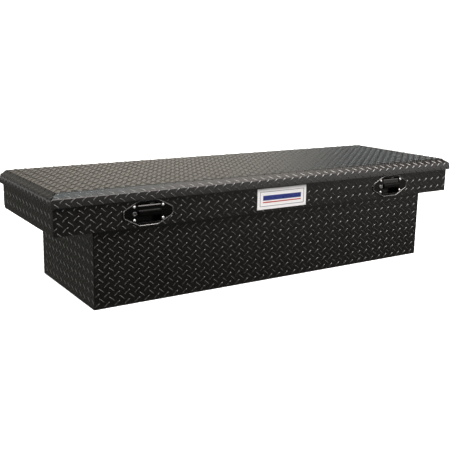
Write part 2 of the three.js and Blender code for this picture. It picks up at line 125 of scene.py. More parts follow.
# latch dish: half widths of its flat edges, and the bead along its rim
LATCH_FLAT = 34 * MM
LATCH_END = 12.5 * MM
BEAD_RADIUS = 2.2 * MM
BEAD_CORNER = 9 * MM
BEAD_SETBACK = 0.9 * MM
BEAD_INSET = 0.6 * BEAD_RADIUS

# studio: a white floor with white walls, and soft panels painted on the world by direction
STUDIO_REACH = 14
STUDIO_ALBEDO = 0.8
STUDIO_GLOW = 0.9
HORIZON_BAND = 0.98
HORIZON_BOTTOM = (-0.03, -0.015)
HORIZON_TOP = (7.0, 4.6)
AMBIENT = (0.045, 0.043, 0.04)


# ---- meshes --------------------------------------------------------------------------------------

def mesh_object(name, vertices, faces, material, body):
    mesh = bpy.data.meshes.new(name)
    mesh.from_pydata([tuple(v) for v in vertices], [], faces)
    mesh.update()
    return place(name, mesh, material, body)


def bmesh_object(name, bm, material, body):
    mesh = bpy.data.meshes.new(name)
    bm.to_mesh(mesh)
    bm.free()
    return place(name, mesh, material, body)


def place(name, mesh, material, body):
    obj = bpy.data.objects.new(name, mesh)
    bpy.context.scene.collection.objects.link(obj)
    mesh.materials.append(material)
    smooth(mesh)
    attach(obj, body)
    return obj


def smooth(mesh, angle=38):
    for polygon in mesh.polygons:
        polygon.use_smooth = True
    mesh.set_sharp_from_angle(angle=math.radians(angle))


def soften(obj, width, segments=3, angle=30):
    """Rounds an object's edges and keeps its flats flat."""
    bevel = obj.modifiers.new("rounded edges", "BEVEL")
    bevel.width = width
    bevel.segments = segments
    bevel.limit_method = "ANGLE"
    bevel.angle_limit = math.radians(angle)
    bevel.harden_normals = True
    return obj


def dress(node, material, width=0.4 * MM, segments=2):
    """Gives a carried CAD node its material and lightly rounded edges."""
    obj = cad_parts[node]
    for slot in obj.material_slots:
        slot.material = material
    weld = obj.modifiers.new("weld", "WELD")
    weld.merge_threshold = 0.02 * MM
    flats = obj.modifiers.new("flats", "DECIMATE")
    flats.decimate_type = "DISSOLVE"
    flats.angle_limit = math.radians(1)
    soften(obj, width, segments)
    return obj


# ---- materials -----------------------------------------------------------------------------------

def surface(name, colour, roughness, metallic=0.0, specular=0.5, spread=0.15, grain=400.0, bump=0.1,
            rough_spread=0.08, stretch=(1, 1, 1), blotch=6.0, ior=1.5):
    """A principled surface whose colour, roughness and relief vary with procedural noise."""
    material = bpy.data.materials.new(name)
    material.use_nodes = True
    nodes = material.node_tree.nodes
    links = material.node_tree.links
    shader = nodes["Principled BSDF"]
    shader.inputs["Metallic"].default_value = metallic
    shader.inputs["Specular IOR Level"].default_value = specular
    shader.inputs["IOR"].default_value = ior
    place_at = nodes.new("ShaderNodeTexCoord")
    mapping = nodes.new("ShaderNodeMapping")
    mapping.inputs["Scale"].default_value = stretch
    links.new(place_at.outputs["Object"], mapping.inputs["Vector"])

    broad = nodes.new("ShaderNodeTexNoise")
    broad.inputs["Scale"].default_value = blotch
    broad.inputs["Detail"].default_value = 4
    links.new(place_at.outputs["Object"], broad.inputs["Vector"])
    fine = nodes.new("ShaderNodeTexNoise")
    fine.inputs["Scale"].default_value = grain
    fine.inputs["Detail"].default_value = 3
    links.new(mapping.outputs["Vector"], fine.inputs["Vector"])

    shade = nodes.new("ShaderNodeMix")
    shade.data_type = "RGBA"
    shade.inputs["A"].default_value = (*[c * (1 - spread) for c in colour], 1)
    shade.inputs["B"].default_value = (*[min(1, c * (1 + spread)) for c in colour], 1)
    links.new(broad.outputs["Fac"], shade.inputs["Factor"])
    links.new(shade.outputs["Result"], shader.inputs["Base Color"])

    gloss = nodes.new("ShaderNodeMapRange")
    gloss.inputs["From Min"].default_value = 0.3
    gloss.inputs["From Max"].default_value = 0.7
    gloss.inputs["To Min"].default_value = max(0.02, roughness - rough_spread)
    gloss.inputs["To Max"].default_value = min(1.0, roughness + rough_spread)
    links.new(fine.outputs["Fac"], gloss.inputs["Value"])
    links.new(gloss.outputs["Result"], shader.inputs["Roughness"])

    relief = nodes.new("ShaderNodeBump")
    relief.inputs["Strength"].default_value = bump
    relief.inputs["Distance"].default_value = 0.4 * MM
    links.new(fine.outputs["Fac"], relief.inputs["Height"])
    links.new(relief.outputs["Normal"], shader.inputs["Normal"])
    return material


COAT = surface("black powder coat", (0.0075, 0.0066, 0.006), 0.3, specular=0.46, spread=0.3, grain=900,
               bump=0.25)
TREAD = surface("tread bar coat", (0.006, 0.0053, 0.0049), 0.24, specular=0.8, spread=0.3, grain=900,
                bump=0.15, ior=1.75)
GLOSS = surface("gloss black latch coat", (0.003, 0.003, 0.003), 0.15, specular=0.34, grain=700, bump=0.04,
                rough_spread=0.05)
DISH = surface("black dish coat", (0.003, 0.003, 0.003), 0.22, specular=0.3, grain=700, bump=0.06,
               rough_spread=0.05)
BEAD = surface("polished dish bead", (0.2, 0.2, 0.2), 0.2, metallic=0.7, grain=700, bump=0.04,
               rough_spread=0.05)
ENAMEL = surface("black enamel", (0.01, 0.01, 0.011), 0.3, specular=0.5, grain=600, bump=0.05)
RUBBER = surface("black rubber", (0.012, 0.012, 0.012), 0.75, specular=0.3, grain=500, bump=0.3)
MILL = surface("mill aluminium", (0.6, 0.6, 0.61), 0.38, metallic=1, spread=0.08, grain=60,
               stretch=(0.4, 14, 14), bump=0.1)
ZINC = surface("zinc plating", (0.52, 0.51, 0.47), 0.34, metallic=1, spread=0.12, grain=260, blotch=40,
               bump=0.08)
HINGE = surface("coated hinge steel", (0.03, 0.029, 0.028), 0.4, metallic=0.3, grain=500, bump=0.15)
SPRING = surface("spring wire", (0.5, 0.5, 0.51), 0.28, metallic=1, grain=300, bump=0.05)
BRIGHT = surface("bright plated screw", (0.86, 0.86, 0.85), 0.3, metallic=1, spread=0.05, grain=300,
                 bump=0.03, rough_spread=0.04)
CHROME = surface("polished chrome", (0.82, 0.82, 0.83), 0.16, metallic=1, spread=0.04, grain=300,
                 bump=0.01, rough_spread=0.03)
BADGE = surface("brushed plate", (0.9, 0.9, 0.91), 0.4, specular=0.5, spread=0.04, grain=90,
                stretch=(1, 12, 12), bump=0.08)
BADGE_LINE = surface("plate frame line", (0.2, 0.21, 0.24), 0.35, metallic=0.3, grain=300, bump=0.05)
BADGE_BLUE = surface("plate blue stripe", (0.02, 0.035, 0.2), 0.3, grain=300, bump=0.05)
BADGE_RED = surface("plate red stripe", (0.5, 0.03, 0.025), 0.3, grain=300, bump=0.05)


# ---- tread pattern -------------------------------------------------------------------------------

def bar_template():
    """A lens-shaped bar along its own first axis: (along, across, height) points and faces.

    The stations are fractions of half the length. The arch is the bar's section, as fractions of its half
    width and of its height.
    """
    stations = (-0.8, -0.45, 0.0, 0.45, 0.8)
    arch = ((-1.0, 0.0), (-0.55, 0.52), (-0.14, 0.96), (0.14, 0.96), (0.55, 0.52), (1.0, 0.0))
    points = [(-BAR_LENGTH / 2, 0.0, -BAR_SINK)]
    for t in stations:
        half_width = BAR_WIDTH / 2 * (1 - t * t) ** 0.6
        height = BAR_HEIGHT * (1 - t ** 4) ** 0.8
        for across, rise in arch:
            points.append((t * BAR_LENGTH / 2, across * half_width, rise * (height + BAR_SINK) - BAR_SINK))
    points.append((BAR_LENGTH / 2, 0.0, -BAR_SINK))
    wide = len(arch)
    last = len(points) - 1
    faces = []
    for k in range(wide - 1):
        faces.append((0, 2 + k, 1 + k))
        faces.append((last, last - wide + k, last - wide + k + 1))
        for i in range(len(stations) - 1):
            a = 1 + i * wide + k
            faces.append((a, a + 1, a + wide + 1, a + wide))
    left_edge = [1 + i * wide for i in range(len(stations))]
    right_edge = [wide + i * wide for i in range(len(stations))]
    faces.append(tuple([0] + left_edge + [last] + right_edge[::-1]))
    return points, faces


BAR_POINTS, BAR_FACES = bar_template()


def bars_on(outline, phase, skip=None):
    """Points and faces of the tread bars over a convex outline in sheet coordinates, cut at its edges."""
    edges = []
    for i, (u, s) in enumerate(outline):
        next_u, next_s = outline[(i + 1) % len(outline)]
        along = Vector((next_u - u, next_s - s))
        edges.append((Vector((u, s)), Vector((along.y, -along.x)).normalized()))
    low = [min(p[k] for p in outline) for k in (0, 1)]
    high = [max(p[k] for p in outline) for k in (0, 1)]
    reach = BAR_LENGTH / 2
    vertices = []
    faces = []
    for turn, shift in ((-1, 0.0), (1, 0.5)):
        cosine = math.cos(math.radians(BAR_SLANT))
        sine = turn * math.sin(math.radians(BAR_SLANT))
        counts = [
            range(math.floor((low[k] - reach - phase[k]) / TREAD_PITCH[k]) - 1,
                  math.ceil((high[k] + reach - phase[k]) / TREAD_PITCH[k]) + 1) for k in (0, 1)
        ]
        for i in counts[0]:
            for j in counts[1]:
                centre = Vector((
                    phase[0] + (i + shift) * TREAD_PITCH[0],
                    phase[1] + (j + shift) * TREAD_PITCH[1],
                ))
                if skip and skip(*centre):
                    continue
                depth = max((centre - at).dot(normal) for at, normal in edges)
                if depth > reach:
                    continue
                points = [
                    Vector((centre.x + a * cosine - b * sine, centre.y + a * sine + b * cosine, h))
                    for a, b, h in BAR_POINTS
                ]
                shape = BAR_FACES
                if depth > -reach:
                    points, shape = clipped(points, edges)
                base = len(vertices)
                vertices.extend(points)
                faces.extend(tuple(base + index for index in face) for face in shape)
    return vertices, faces


def clipped(points, edges):
    """One bar cut along an outline's edges, each given as (a place on it, its outward normal)."""
    bm = bmesh.new()
    made = [bm.verts.new(p) for p in points]
    for face in BAR_FACES:
        bm.faces.new([made[index] for index in face])
    for at, normal in edges:
        everything = bm.verts[:] + bm.edges[:] + bm.faces[:]
        cut = bmesh.ops.bisect_plane(
            bm, geom=everything, dist=1e-7, plane_co=(at.x, at.y, 0), plane_no=(normal.x, normal.y, 0),
            clear_outer=True,
        )
        rim = [item for item in cut["geom_cut"] if isinstance(item, bmesh.types.BMEdge)]
        if rim:
            bmesh.ops.holes_fill(bm, edges=rim)
    bm.verts.index_update()
    result = [v.co.copy() for v in bm.verts]
    shape = [tuple(v.index for v in face.verts) for face in bm.faces]
    bm.free()
    return result, shape


def flat_sheet(origin, right, up):
    """Maps sheet coordinates (right, up, out) of a flat panel to places on it."""
    origin, right, up = Vector(origin), Vector(right), Vector(up)
    out = right.cross(up)
    return lambda p: origin + right * p.x + up * p.y + out * p.z


def folded_sheet(profile, radii, lay):
    """Maps sheet coordinates onto a folded strip.

    The profile is [(across, height)] corners with a radius at each fold, and lay places the result. Also
    gives how far along the strip each fold and the far edge are.
    """
    pieces = []
    travelled = 0.0
    start = Vector(profile[0])
    for i in range(1, len(profile)):
        corner = Vector(profile[i])
        along = (corner - start).normalized()
        if i == len(profile) - 1:
            pieces.append(("line", travelled, start, along, (corner - start).length))
            break
        radius = radii[i - 1]
        after = (Vector(profile[i + 1]) - corner).normalized()
        turn = math.atan2(along.x * after.y - along.y * after.x, along.dot(after))
        trim = radius * math.tan(abs(turn) / 2)
        length = (corner - start).length - trim
        pieces.append(("line", travelled, start, along, length))
        travelled += length
        bend_start = start + along * length
        pieces.append(("bend", travelled, bend_start, along, radius * abs(turn), math.copysign(radius, turn)))
        travelled += radius * abs(turn)
        start = corner + after * trim

    def spot(s):
        piece = pieces[0]
        for candidate in pieces:
            if s >= candidate[1]:
                piece = candidate
        distance = s - piece[1]
        place_2d, along = piece[2], piece[3]
        if piece[0] == "line":
            return place_2d + along * distance, Vector((along.y, -along.x))
        bend = piece[5]
        centre = place_2d + Vector((-along.y, along.x)) * bend
        angle = distance / bend
        arm = place_2d - centre
        turned_arm = Vector((
            arm.x * math.cos(angle) - arm.y * math.sin(angle),
            arm.x * math.sin(angle) + arm.y * math.cos(angle),
        ))
        heading = Vector((
            along.x * math.cos(angle) - along.y * math.sin(angle),
            along.x * math.sin(angle) + along.y * math.cos(angle),
        ))
        return centre + turned_arm, Vector((heading.y, -heading.x))

    def place_on(p):
        at, out = spot(p.y)
        return lay(p.x, at + out * p.z)

    folds = [piece[1] + piece[4] / 2 for piece in pieces if piece[0] == "bend"]
    return place_on, folds, pieces[-1][1] + pieces[-1][4]


def tread(name, body, patches):
    """One object of tread bars from several (sheet, outline, phase, skip) patches."""
    vertices = []
    faces = []
    for sheet, outline, phase, skip in patches:
        points, shape = bars_on(outline, phase, skip)
        base = len(vertices)
        vertices.extend(sheet(p) for p in points)
        faces.extend(tuple(base + index for index in face) for face in shape)
    return mesh_object(name, vertices, faces, TREAD, body)


def rectangle(left, right, bottom, top):
    return [(left, bottom), (right, bottom), (right, top), (left, top)]


# ---- carried CAD nodes ---------------------------------------------------------------------------

COATED_PANELS = ("tub_shell", "front_rail", "rear_rail", "left_tub_end", "right_tub_end", "left_wing",
                 "right_wing")
PLATED_PARTS = ("striker", "strut_foot_bracket", "strut_lid_bracket", "latch_frame", "latch_rotor",
                "latch_sear", "rotor_pivot", "sear_pivot", "paddle_pin", "lock_cam")

for node in COATED_PANELS:
    dress(node, COAT, 0.7 * MM)
for node in ("front_lid_stiffener", "rear_lid_stiffener"):
    dress(node, MILL, 0.6 * MM)
for node in ("hinge_leaf_body", "hinge_leaf_lid", "hinge_pin"):
    dress(node, HINGE, 0.3 * MM)
dress("rim_seal", RUBBER, 3.5 * MM, 4)
dress("name_plate", BADGE, 0.5 * MM)
for side in SIDES:
    for part in PLATED_PARTS:
        dress(f"{side}_{part}", ZINC)
    dress(f"{side}_strut_cylinder", ENAMEL)
    dress(f"{side}_strut_rod", CHROME)
    dress(f"{side}_latch_dish", DISH, 0.9 * MM, 3)
    dress(f"{side}_latch_paddle", GLOSS, 0.9 * MM, 3)
    dress(f"{side}_latch_gasket", RUBBER, 0.3 * MM)
    dress(f"{side}_paddle_spring", SPRING, 0.1 * MM)
    dress(f"{side}_lock_cylinder", CHROME)
    for number in (1, 2, 3, 4):
        dress(f"{side}_latch_screw_{number}", BRIGHT, 0.5 * MM)


# ---- lid -----------------------------------------------------------------------------------------

lid_low, lid_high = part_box("lid_skin")


def build_lid():
    """The folded lid skin: one outer surface with rounded folds, thickened inwards."""
    bm = bmesh.new()
    roundness = bm.edges.layers.float.new("bevel_weight_edge")
    hinge_edge = HINGE_HEIGHT - HINGE_RADIUS
    left, right = lid_low.x, lid_high.x
    front, back = lid_low.y, lid_high.y
    top = lid_high.z

    def ring(inset, z):
        return [bm.verts.new(p) for p in ((left + inset, front + inset, z), (right - inset, front + inset, z),
                                          (right - inset, back, z), (left + inset, back, z))]

    lip = ring(0, LID_LIP)
    crease = ring(LID_LEAN, LID_CREASE)
    flat = ring(LID_INSET, top)
    notch_inset = LID_LEAN * (hinge_edge - LID_LIP) / (LID_CREASE - LID_LIP)
    notch = ring(notch_inset, hinge_edge)
    bmesh.ops.delete(bm, geom=notch[:2], context="VERTS")
    for loop in (
        (lip[0], lip[1], crease[1], crease[0]),
        (crease[0], crease[1], flat[1], flat[0]),
        (flat[0], flat[1], flat[2], flat[3]),
        (lip[1], lip[2], notch[2], crease[2], crease[1]),
        (crease[1], crease[2], flat[2], flat[1]),
        (lip[3], lip[0], crease[0], crease[3], notch[3]),
        (crease[3], crease[0], flat[0], flat[3]),
        (notch[2], notch[3], crease[3], flat[3], flat[2], crease[2]),
    ):
        bm.faces.new(loop)

    # each fold is trimmed back by radius * tan(half its turn)
    lean = math.atan2(LID_LEAN, LID_CREASE - LID_LIP)
    bevel_angle = math.atan2(top - LID_CREASE, LID_INSET - LID_LEAN)
    half_turn = (math.pi / 2 - lean - bevel_angle) / 2
    front_trim = FRONT_CREASE_RADIUS * math.tan(half_turn)
    end_trim = END_CREASE_RADIUS * math.tan(half_turn)
    top_trim = TOP_RADIUS * math.tan(bevel_angle / 2)
    for edge in bm.edges:
        if len(edge.link_faces) < 2:
            continue
        a, b = edge.verts
        level = abs(a.co.z - b.co.z) < 1e-6
        at_back = min(a.co.y, b.co.y) > back - 1e-6
        if at_back:
            trim = CORNER_RADIUS
        elif level and a.co.z > top - 1e-6:
            trim = top_trim
        elif level:
            trim = front_trim if abs(a.co.y - b.co.y) < 1e-6 else end_trim
        else:
            trim = CORNER_RADIUS
        edge[roundness] = trim / end_trim
    bmesh.ops.recalc_face_normals(bm, faces=bm.faces[:])
    lid = bmesh_object("lid_folded_skin", bm, COAT, "lid")
    folds = lid.modifiers.new("folds", "BEVEL")
    folds.limit_method = "WEIGHT"
    folds.width = end_trim
    folds.segments = 6
    shell = lid.modifiers.new("sheet", "SOLIDIFY")
    shell.thickness = SHEET
    shell.offset = -1
    shell.use_even_offset = True
    even = lid.modifiers.new("flats", "WEIGHTED_NORMAL")
    even.keep_sharp = True
    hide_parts("lid_skin")


build_lid()


def facing_out(corners):
    """The outline turned counterclockwise."""
    area = sum(a[0] * b[1] - b[0] * a[1] for a, b in zip(corners, corners[1:] + corners[:1]))
    return corners if area > 0 else corners[::-1]


# the top, the front bevel and the front lip are one sheet; each end has a sheet of its own round its folds
half_flat = lid_high.x - LID_INSET
top_limit = half_flat - END_SHEET_REACH
crease_half = lid_high.x - LID_LEAN
lip_half = lid_high.x - EDGE
crease_front = lid_low.y + LID_LEAN
flat_front = lid_low.y + LID_INSET
front_profile = [
    (-lid_low.y, LID_LIP),
    (-crease_front, LID_CREASE),
    (-flat_front, lid_high.z),
    (-lid_high.y, lid_high.z),
]
end_profile = [
    (lid_high.x, LID_LIP),
    (crease_half, LID_CREASE),
    (half_flat, lid_high.z),
    (top_limit, lid_high.z),
]
front_sheet, front_folds, front_end = folded_sheet(
    front_profile, (FRONT_CREASE_RADIUS, TOP_RADIUS), lambda u, p: Vector((u, -p.x, p.y)),
)
front_lip = [
    (-lip_half, EDGE),
    (lip_half, EDGE),
    (crease_half - EDGE, front_folds[0]),
    (EDGE - crease_half, front_folds[0]),
]
front_bevel = [
    (EDGE - crease_half, front_folds[0]),
    (crease_half - EDGE, front_folds[0]),
    (half_flat, front_folds[1]),
    (-half_flat, front_folds[1]),
]
front_phase = (LID_PHASE[0], front_folds[1] + LID_PHASE[1])
lid_patches = [
    (front_sheet, facing_out(front_lip), front_phase, None),
    (front_sheet, facing_out(front_bevel), front_phase, None),
    (front_sheet, rectangle(-top_limit, top_limit, front_folds[1], front_end - EDGE), front_phase, None),
]
for sign in (-1, 1):
    end_sheet, end_folds, end_reach = folded_sheet(
        end_profile, (END_CREASE_RADIUS, TOP_RADIUS),
        lambda u, p, sign=sign: Vector((sign * p.x, sign * u, p.y)),
    )
    front_edges = [lid_low.y + EDGE, crease_front + EDGE, flat_front, flat_front]
    back_edge = lid_high.y - EDGE
    stops = [EDGE, end_folds[0], end_folds[1], end_reach]
    end_phase = (LID_END_PHASE[0], end_reach + LID_END_PHASE[1])
    for k in range(3):
        corners = [
            (front_edges[k], stops[k]),
            (back_edge, stops[k]),
            (back_edge, stops[k + 1]),
            (front_edges[k + 1], stops[k + 1]),
        ]
        outline = facing_out([(sign * y, s) for y, s in corners])
        lid_patches.append((end_sheet, outline, end_phase, None))
tread("lid_tread_bars", "lid", lid_patches)


# ---- body bars -----------------------------------------------------------------------------------

rail_low, rail_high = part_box("front_rail")
wing_low, wing_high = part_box("right_wing")
tub_low, tub_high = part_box("tub_shell")
end_low, end_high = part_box("right_tub_end")
dish_low, dish_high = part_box("right_latch_dish")
plate_low, plate_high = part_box("name_plate")
dish_centre = (dish_low + dish_high) / 2


def under_fitting(x, z):
    """Whether a bar on the front rail would be hidden under a latch dish or the name plate."""
    away = Vector((abs(abs(x) - dish_centre.x), abs(z - dish_centre.z)))
    in_dish_box = away.x < DISH_COVER[0] and away.y < DISH_COVER[1]
    in_dish_corners = away.x * DISH_CORNER_SLOPE + away.y < DISH_CORNER_REACH
    beside_plate = plate_low.x - PLATE_CLEAR[0] < x < plate_high.x + PLATE_CLEAR[0]
    level_with_plate = plate_low.z - PLATE_CLEAR[1] < z < plate_high.z + PLATE_CLEAR[1]
    return (in_dish_box and in_dish_corners) or (beside_plate and level_with_plate)


rail_edge = rail_high.x + SHEET - EDGE
rail_floor = rail_low.z + EDGE
front_up = flat_sheet((0, rail_low.y, 0), (1, 0, 0), (0, 0, 1))
back_up = flat_sheet((0, wing_high.y, 0), (-1, 0, 0), (0, 0, 1))
front_rail_area = rectangle(-rail_edge, rail_edge, rail_floor, rail_high.z - EDGE)
rear_rail_area = rectangle(-rail_edge, rail_edge, rail_low.z + BEND, REAR_BARS_TOP)
tread("front_rail_tread_bars", "box", [(front_up, front_rail_area, RAIL_PHASE, under_fitting)])
tread("rear_rail_tread_bars", "box", [(back_up, rear_rail_area, RAIL_PHASE, None)])

tub_area = rectangle(tub_low.x + EDGE, tub_high.x - EDGE, TUB_FLOOR_BEND, tub_high.z - TUB_MARGIN)
for name, y, right in (("tub_front_tread_bars", tub_low.y, 1), ("tub_back_tread_bars", tub_high.y, -1)):
    tub_sheet = flat_sheet((0, y, 0), (right, 0, 0), (0, 0, 1))
    tread(name, "box", [(tub_sheet, tub_area, TUB_PHASE, None)])

tub_outline = rectangle(end_low.y + EDGE, end_high.y - EDGE, TUB_FLOOR_BEND, end_high.z - EDGE)
# the wing's lower back corner follows the rear rail's bend
wing_outline = [
    (wing_low.y + EDGE, rail_floor),
    (wing_high.y - BEND, rail_floor),
    (wing_high.y - 6 * MM, rail_floor + 5 * MM),
    (wing_high.y - EDGE, rail_floor + BEND),
    (wing_high.y - EDGE, wing_high.z - EDGE),
    (wing_low.y + EDGE, wing_high.z - EDGE),
]
for side, sign in (("left", -1), ("right", 1)):
    for name, x, corners, phase in (
        ("tub_end", end_high.x, tub_outline, TUB_END_PHASE),
        ("wing", wing_high.x, wing_outline, WING_PHASE),
    ):
        sheet = flat_sheet((sign * x, 0, 0), (0, sign, 0), (0, 0, 1))
        outline = facing_out([(sign * y, z) for y, z in corners])
        tread(f"{side}_{name}_tread_bars", "box", [(sheet, outline, phase, None)])


# ---- name plate ----------------------------------------------------------------------------------


def slab(name, low, high, material, body, width=0.2 * MM):
    """A block between two corners, with lightly rounded edges."""
    bm = bmesh.new()
    bmesh.ops.create_cube(bm, size=1.0)
    for vertex in bm.verts:
        vertex.co = Vector((low[k] + (vertex.co[k] + 0.5) * (high[k] - low[k]) for k in range(3)))
    obj = bmesh_object(name, bm, material, body)
    return soften(obj, width, 2)


def ring_plate(name, outer, inner, y_range, material, body):
    """A thin rectangular frame facing the front: outer and inner are (left, right, bottom, top)."""
    loops = []
    for y in y_range:
        for left, right, bottom, top in (outer, inner):
            loops.append([(left, y, bottom), (right, y, bottom), (right, y, top), (left, y, top)])
    vertices = [p for loop in loops for p in loop]
    faces = []
    for i in range(4):
        j = (i + 1) % 4
        faces.append((i, j, 4 + j, 4 + i))
        faces.append((8 + j, 8 + i, 12 + i, 12 + j))
        faces.append((j, i, 8 + i, 8 + j))
        faces.append((4 + i, 4 + j, 12 + j, 12 + i))
    return mesh_object(name, vertices, faces, material, body)


def dome(name, centre, outward, radius, height, material, body, slot, recess=0.0):
    """A round head standing on a surface, with a six-sided driver recess when recess is its radius."""
    outward = Vector(outward)
    turn = Vector((0, 0, 1)).rotation_difference(outward).to_matrix()
    steps = 24
    rings = [
        (radius, 0.0),
        (radius, height * 0.35),
        (radius * 0.9, height * 0.7),
        (radius * 0.7, height * 0.93),
    ]
    if recess:
        rings += [(recess * 1.18, height), ("six", height * 0.98), ("six", height * 0.3)]
    else:
        rings += [(radius * 0.4, height)]
    vertices = []
    for ring_radius, rise in rings:
        for i in range(steps):
            angle = 2 * math.pi * i / steps
            reach = ring_radius
            if ring_radius == "six":
                reach = recess * math.cos(math.pi / 6) / math.cos((angle % (math.pi / 3)) - math.pi / 6)
            spoke = Vector((reach * math.cos(angle), reach * math.sin(angle), rise))
            vertices.append(Vector(centre) + turn @ spoke)
    faces = []
    for k in range(len(rings) - 1):
        for i in range(steps):
            j = (i + 1) % steps
            faces.append((k * steps + i, k * steps + j, (k + 1) * steps + j, (k + 1) * steps + i))
    faces.append(tuple((len(rings) - 1) * steps + i for i in range(steps)))
    faces.append(tuple(range(steps))[::-1])
    return mesh_object(name, vertices, faces, material, body)


plate_face = plate_low.y
stripe_front = plate_face - STRIPE_RISE
stripe_back = plate_face + STRIPE_RISE
outer = (
    plate_low.x + PLATE_LINE_INSET,
    plate_high.x - PLATE_LINE_INSET,
    plate_low.z + PLATE_LINE_INSET,
    plate_high.z - PLATE_LINE_INSET,
)
inner = (
    outer[0] + PLATE_LINE_WIDTH,
    outer[1] - PLATE_LINE_WIDTH,
    outer[2] + PLATE_LINE_WIDTH,
    outer[3] - PLATE_LINE_WIDTH,
)
ring_plate("name_plate_frame_line", outer, inner, (plate_face - PLATE_LINE_RISE, stripe_back), BADGE_LINE,
           "box")
for colour, (bottom, top), material in (("blue", BLUE_STRIPE, BADGE_BLUE), ("red", RED_STRIPE, BADGE_RED)):
    slab(f"name_plate_{colour}_stripe", (inner[0] + STRIPE_INSET, stripe_front, plate_low.z + bottom),
         (inner[1] - STRIPE_INSET, stripe_back, plate_low.z + top), material, "box")
for across, x in enumerate((plate_low.x + PLATE_RIVET_INSET, plate_high.x - PLATE_RIVET_INSET)):
    for up, z in enumerate((plate_low.z + PLATE_RIVET_INSET, plate_high.z - PLATE_RIVET_INSET)):
        centre = (x, plate_face + PLATE_RIVET_SINK, z)
        dome(f"name_plate_rivet_{across}{up}", centre, (0, -1, 0), *PLATE_RIVET, BADGE, "box", "badge_plate")


# ---- hinge rivets and screw heads ----------------------------------------------------------------

leaf_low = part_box("hinge_leaf_body")[0]
for k in range(HINGE_RIVETS):
    centre = (
        leaf_low.x + HINGE_RIVET_START + k * HINGE_RIVET_PITCH,
        leaf_low.y + HINGE_RIVET_BASE,
        leaf_low.z + HINGE_RIVET_UP,
    )
    dome(f"hinge_rivet_{k:02d}", centre, (0, 1, 0), *HINGE_RIVET, HINGE, "box", "hinge_steel")

for side in SIDES:
    for number in (1, 2, 3, 4):
        node = f"{side}_latch_screw_{number}"
        low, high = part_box(node)
        centre = ((low.x + high.x) / 2, low.y + SCREW_HEAD_BASE, (low.z + high.z) / 2)
        radius = (high.x - low.x) / 2
        head = dome(f"{node}_head", centre, (0, -1, 0), radius, SCREW_HEAD_HEIGHT, BRIGHT, "box",
                    "bright_screw", recess=SCREW_RECESS)
        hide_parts(node)


# ---- dish beads: the rounded, polished edge of the eight-sided rim -------------------------------

def rounded(corners, radius, steps=5):
    """A closed outline with each corner replaced by an arc."""
    path = []
    for i, corner in enumerate(corners):
        before = (corners[i - 1] - corner).normalized()
        after = (corners[(i + 1) % len(corners)] - corner).normalized()
        half = before.angle(after) / 2
        centre = corner + (before + after).normalized() * radius / math.sin(half)
        start = (corner + before * radius / math.tan(half) - centre).normalized()
        end = (corner + after * radius / math.tan(half) - centre).normalized()
        for k in range(steps + 1):
            path.append(centre + start.slerp(end, k / steps) * radius)
    return path


def bead(name, corners, radius, material, body, sides=10):
    """A round bead along a closed outline of (x, y, z) corners in a plane facing the front."""
    path = rounded(corners, BEAD_CORNER)
    vertices = []
    for i, at in enumerate(path):
        along = (path[(i + 1) % len(path)] - path[i - 1]).normalized()
        across = along.cross(Vector((0, -1, 0)))
        for k in range(sides):
            angle = 2 * math.pi * k / sides
            forwards = Vector((0, -radius * math.sin(angle), 0))
            vertices.append(at + across * radius * math.cos(angle) + forwards)
    faces = []
    for i in range(len(path)):
        j = (i + 1) % len(path)
        for k in range(sides):
            m = (k + 1) % sides
            faces.append((i * sides + k, i * sides + m, j * sides + m, j * sides + k))
    return mesh_object(name, vertices, faces, material, body)


for side in SIDES:
    low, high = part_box(f"{side}_latch_dish")
    middle = (low + high) / 2
    half_x = (high.x - low.x) / 2 - BEAD_INSET
    half_z = (high.z - low.z) / 2 - BEAD_INSET
    outline = [
        (-half_x, -LATCH_END), (-LATCH_FLAT, -half_z), (LATCH_FLAT, -half_z), (half_x, -LATCH_END),
        (half_x, LATCH_END), (LATCH_FLAT, half_z), (-LATCH_FLAT, half_z), (-half_x, LATCH_END),
    ]
    corners = [Vector((middle.x + x, low.y + BEAD_SETBACK, middle.z + z)) for x, z in outline]
    bead(f"{side}_dish_bead", corners, BEAD_RADIUS, BEAD, "box")


# ---- camera, floor and light ---------------------------------------------------------------------

def direction(azimuth, elevation):
    """Unit vector: azimuth in degrees from +Y towards +X, elevation above the horizon."""
    a, e = math.radians(azimuth), math.radians(elevation)
    return Vector((math.sin(a) * math.cos(e), math.cos(a) * math.cos(e), math.sin(e)))


forward = direction(CAMERA_YAW, -CAMERA_PITCH)
level = Vector((math.cos(math.radians(CAMERA_YAW)), -math.sin(math.radians(CAMERA_YAW)), 0))
upward = level.cross(forward)
roll = math.radians(CAMERA_ROLL)
camera_right = math.cos(roll) * level + math.sin(roll) * upward
camera_up = -math.sin(roll) * level + math.cos(roll) * upward
camera_data = bpy.data.cameras.new("camera")
camera_data.sensor_width = 36
camera_data.lens = CAMERA_LENS
camera_data.shift_x, camera_data.shift_y = CAMERA_SHIFT
camera_data.clip_end = 500
camera = bpy.data.objects.new("camera", camera_data)
bpy.context.scene.collection.objects.link(camera)
turned = Matrix((camera_right, camera_up, -forward)).transposed()
camera.matrix_world = Matrix.Translation(CAMERA_PLACE) @ turned.to_4x4()
bpy.context.scene.camera = camera
bpy.context.scene.view_settings.view_transform = "Standard"

